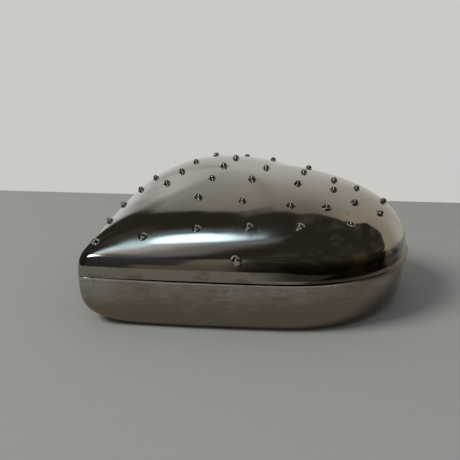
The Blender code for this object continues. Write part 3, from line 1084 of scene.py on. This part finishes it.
class Room:
    """The room that polished metal mirrors, worked out from the direction of a ray.

    Front, right and up are the direction's parts towards the camera, to the right of its image
    and upwards. Along and across are places on a ceiling, towards the camera and to the right,
    and aside is how far to the right of a line that slants over the ceiling. Ahead is a place
    on a wall in front, towards the right.
    """

    def __init__(self, sheet, finish, turn):
        self.sheet = sheet
        self.finish = finish
        self.turn = turn
        self.way = sheet.node("ShaderNodeTexCoord", output="Generated")
        front, right = level_axes(turn)
        self.front = sheet.dot(self.way, front)
        self.right = sheet.dot(self.way, right)
        self.up = sheet.dot(self.way, (0.0, 0.0, 1.0))
        high = self.up.at_least(LEAST_UP)
        self.along = self.front / high
        self.across = self.right / high
        self.aside = self.across + self.along * SLANT + SLANT_SHIFT
        self.ahead = self.right / self.front.at_least(LEAST_FRONT)

    def window(self):
        """The bent window strip, with a faint halo that is strongest on the left."""
        run = self.across - WINDOW_PLACE[0]
        bent = self.along - WINDOW_PLACE[1] - run * run * WINDOW_BEND
        away = run * run * WINDOW_TIGHTNESS[0] + bent * bent * WINDOW_TIGHTNESS[1]
        halo = away.fade(*HALO_EDGE) * HALO_STRENGTH
        halo = halo * (1 - self.across.smooth(*HALO_END) * HALO_LOSS)
        return (away.fade(*WINDOW_EDGE) + halo) * self.up.smooth(*WINDOW_RISE)

    def trail(self):
        """Dimmer light that trails from the window strip towards the camera."""
        left, right = TRAIL_SIDES
        stepped = self.aside + TRAIL_STEP - self.along.smooth(*TRAIL_STEP_PLACE) * TRAIL_STEP
        trail = stepped.smooth(*left) * self.aside.fade(*right) * self.along.band(*TRAIL_ENDS)
        return trail * self.up.smooth(*TRAIL_RISE) * TRAIL_STRENGTH

    def glow(self):
        """What the window lights beside it, less so nearer the camera."""
        glow = self.aside.band(*GLOW_SIDES) * self.along.smooth(*GLOW_START)
        glow = glow * self.up.smooth(*GLOW_RISE)
        return glow * (1 - self.along.smooth(*GLOW_FADE) * GLOW_LOSS)

    def haze(self):
        """Blurred light along the window's lower side, in streaks."""
        streaks = self.sheet.noise(self.way, *HAZE_STREAKS) * HAZE_CONTRAST + HAZE_LEAST
        haze = self.aside.band(*HAZE_SIDES) * self.along.band(*HAZE_ENDS)
        return haze * self.up.smooth(*TRAIL_RISE) * streaks

    def standing(self, left, right, top):
        """What stands in front, between its sides and up to its top."""
        return self.ahead.band(left, right) * self.up.fade(*top) * self.front.smooth(*IN_FRONT)

    def dim_side(self):
        """The dim room in front and what stands in it, with the window and a small lamp."""
        sheet, finish = self.sheet, self.finish
        seen = sheet.blend(sheet.noise(self.way, *MURK_CLOUDS), finish.dim, finish.murk)
        layers = (
            (self.standing(*DIM_BLUE_PLACE), finish.dim_blue),
            (self.glow(), finish.lit_room),
            (self.haze(), finish.haze),
            (self.standing(*CARD_PLACE) + self.standing(*LEDGE_PLACE), finish.card),
            (self.standing(*SHELF_PLACE), finish.shelf),
        )
        for cover, shade in layers:
            seen = sheet.blend(cover, seen, shade)
        daylight = tuple(part * finish.glare for part in finish.window)
        seen = sheet.blend(self.window() + self.trail(), seen, daylight, "ADD")
        lamp = sheet.dot(self.way, direction(self.turn + SPARK_ASIDE, SPARK_RISE))
        return sheet.blend(lamp.smooth(*SPARK_EDGE), seen, (finish.spark,) * 3, "ADD")

    def wall_tone(self):
        """The wall behind: darker and warmer higher up, to the left and to the right."""
        tone = self.sheet.node("ShaderNodeValToRGB", {"stops": WALL_TONES}, {"Fac": self.up})
        for left, rise, strength in WALL_SHADES:
            shaded = self.right.fade(*left) * self.up.smooth(*rise) * strength
            tone = self.sheet.blend(shaded, tone, self.finish.dim)
        rightmost, behind = PALE_CORNER
        pale = self.right.smooth(*rightmost) * self.front.fade(*behind)
        warm = self.right.smooth(*WARM_SIDE) * (1 - pale * CORNER_PALENESS)
        return self.sheet.blend(warm, tone, self.finish.wall_side)

    def wall_cover(self):
        """Where the wall behind is seen: behind its top edge and right of its left end."""
        top = WALL_TOP
        for place, step in WALL_TOP_STEPS:
            top = top + self.across.smooth(*place) * step
        corner = self.right.smooth(*CORNER_PLACE) * CORNER_DROP
        cover = (0 - self.front - top * self.up - corner).smooth(*WALL_BLUR)
        steps = self.right.smooth(*LOW_STEP_PLACE) * self.up.fade(*LOW_STEP_RISE)
        steps = (steps - self.up.smooth(*HIGH_STEP_RISE)) * WALL_STEP
        end = self.right * WALL_SLANT - self.front - self.up * WALL_LEAN - steps
        cover = cover * end.smooth(*WALL_BLUR)
        cover = cover * (self.right - self.front * REACH_SLANT).smooth(*REACH_BLUR)
        table = self.up.fade(*TABLE_LEVEL) * self.front.smooth(*TABLE_FRONT)
        return cover * (1 - table)


# The studio

# Corners of the table top, as (towards the camera, to the right): it ends close behind the box
FLOOR_CORNERS = (
    (0.215, -0.30), (0.205, -0.035), (0.131, 0.043), (0.096, 0.082), (0.030, 0.112),
    (-0.028, 0.130), (-0.050, 0.30), (-0.105, 0.34), (-0.165, -0.30),
)
FLOOR_THICKNESS = 0.02
FLOOR_BEVEL = 0.0015


class HEARTBOX_OT_studio(bpy.types.Operator):
    """Set up the plain floor and wall, the soft lights and the camera"""

    bl_idname = "heartbox.studio"
    bl_label = "Studio"

    def execute(self, context):
        box = context.scene.heart_box
        self.add_floor(context, box)
        self.light_world(context, box)
        self.add_lamp(context, box)
        self.add_camera(context, box.camera)
        context.scene.view_settings.view_transform = "Standard"
        return {"FINISHED"}

    @staticmethod
    def add_floor(context, box):
        """Lay a plain table top: its far edge stands close behind the box."""
        front, right = level_axes(box.camera.azimuth)
        bm = bmesh.new()
        top = bm.faces.new([bm.verts.new(front * near + right * aside)
                            for near, aside in FLOOR_CORNERS])
        parts = bmesh.ops.extrude_face_region(bm, geom=[top])["geom"]
        lower = [part for part in parts if isinstance(part, bmesh.types.BMVert)]
        bmesh.ops.translate(bm, vec=(0, 0, -FLOOR_THICKNESS), verts=lower)
        bmesh.ops.bevel(bm, geom=bm.edges[:], offset=FLOOR_BEVEL, segments=3, affect="EDGES")
        bmesh.ops.recalc_face_normals(bm, faces=bm.faces)
        mesh = bpy.data.meshes.new("floor")
        bm.to_mesh(mesh)
        bm.free()
        floor = bpy.data.objects.new("floor", mesh)
        mesh.materials.append(plain_paint("floor_paint", box.finish.floor))
        context.scene.collection.objects.link(floor)

    @staticmethod
    def light_world(context, box):
        """Even light, a pale view behind, and for polished metal a room to mirror."""
        finish = box.finish
        world = bpy.data.worlds.new("studio")
        context.scene.world = world
        world.use_nodes = True
        sheet = Sheet(world.node_tree)
        room = Room(sheet, finish, box.camera.azimuth)
        seen = sheet.blend(room.wall_cover(), room.dim_side(), room.wall_tone())
        mirrored = sheet.node("ShaderNodeLightPath", output="Is Glossy Ray")
        viewed = sheet.node("ShaderNodeLightPath", output="Is Camera Ray")
        shade = sheet.blend(mirrored, (finish.ambient,) * 3, seen)
        shade = sheet.blend(viewed, shade, finish.backdrop)
        light = sheet.node("ShaderNodeBackground", None, {"Color": shade, "Strength": 1.0})
        sheet.node("ShaderNodeOutputWorld", None, {"Surface": light})

    @staticmethod
    def add_lamp(context, box):
        """Hang one broad soft lamp to the left, which polished metal doesn't mirror."""
        settings = box.lamp
        lamp = bpy.data.lights.new("key", "AREA")
        lamp.energy = settings.power
        lamp.size = settings.size
        key = bpy.data.objects.new("key", lamp)
        context.scene.collection.objects.link(key)
        outward, _ = level_axes(box.camera.azimuth + settings.aside)
        key.location = outward * settings.reach + Vector((0, 0, settings.height))
        aim = Vector((0, 0, settings.aim_height)) - key.location
        key.rotation_euler = aim.to_track_quat("-Z", "Y").to_euler()
        key.visible_glossy = False

    @staticmethod
    def add_camera(context, view):
        """Stand where the photograph was taken, turned so that the target falls in its place."""
        back = direction(view.azimuth, view.elevation)
        ahead = -back
        right = ahead.cross(Vector((0, 0, 1))).normalized()
        up = right.cross(ahead)
        half = view.image_pixels / 2
        pan = math.atan((view.pixels_right - half) / view.focal_pixels)
        tilt = math.atan((view.pixels_down - half) / view.focal_pixels)
        ahead, right = (ahead * math.cos(pan) - right * math.sin(pan),
                        right * math.cos(pan) + ahead * math.sin(pan))
        ahead, up = (ahead * math.cos(tilt) + up * math.sin(tilt),
                     up * math.cos(tilt) - ahead * math.sin(tilt))
        right, up = (right * math.cos(view.roll) + up * math.sin(view.roll),
                     up * math.cos(view.roll) - right * math.sin(view.roll))
        lens = bpy.data.cameras.new("camera")
        lens.sensor_width = 36.0
        lens.lens = lens.sensor_width * view.focal_pixels / view.image_pixels
        lens.clip_start = 0.01
        camera = bpy.data.objects.new("camera", lens)
        context.scene.collection.objects.link(camera)
        place = Vector((0, 0, view.target_height)) + back * view.distance
        camera.matrix_world = Matrix.Translation(place) @ Matrix(
            (right, up, -ahead)).transposed().to_4x4()
        context.scene.camera = camera


class HEARTBOX_PT_panel(bpy.types.Panel):
    """Sizes, colours and the steps that make the box"""

    bl_idname = "HEARTBOX_PT_panel"
    bl_label = "Heart Box"
    bl_space_type = "VIEW_3D"
    bl_region_type = "UI"
    bl_category = "Heart Box"

    def draw(self, context):
        layout = self.layout
        for operator in OPERATORS:
            layout.operator(operator.bl_idname)
        box = context.scene.heart_box
        for group in (box.outline, box.shells, box.fittings, box.finish, box.camera, box.lamp):
            column = layout.box().column()
            for name in group.bl_rna.properties.keys():
                if name not in ("rna_type", "name"):
                    column.prop(group, name)


GROUPS = (
    HEARTBOX_PG_outline,
    HEARTBOX_PG_shells,
    HEARTBOX_PG_fittings,
    HEARTBOX_PG_finish,
    HEARTBOX_PG_camera,
    HEARTBOX_PG_lamp,
    HEARTBOX_PG_settings,
)
OPERATORS = (
    HEARTBOX_OT_base_bowl,
    HEARTBOX_OT_inner_bezel,
    HEARTBOX_OT_lid_shell,
    HEARTBOX_OT_studs,
    HEARTBOX_OT_studio,
)


def register():
    for group in GROUPS:
        bpy.utils.register_class(group)
    for operator in OPERATORS:
        bpy.utils.register_class(operator)
    bpy.utils.register_class(HEARTBOX_PT_panel)
    bpy.types.Scene.heart_box = PointerProperty(type=HEARTBOX_PG_settings)


def unregister():
    del bpy.types.Scene.heart_box
    bpy.utils.unregister_class(HEARTBOX_PT_panel)
    for operator in reversed(OPERATORS):
        bpy.utils.unregister_class(operator)
    for group in reversed(GROUPS):
        bpy.utils.unregister_class(group)


def main():
    register()
    bpy.ops.heartbox.base_bowl()
    bpy.ops.heartbox.inner_bezel()
    bpy.ops.heartbox.lid_shell()
    bpy.ops.heartbox.studs()
    bpy.ops.heartbox.studio()
    bpy.context.view_layer.update()


if __name__ == "__main__":
    main()
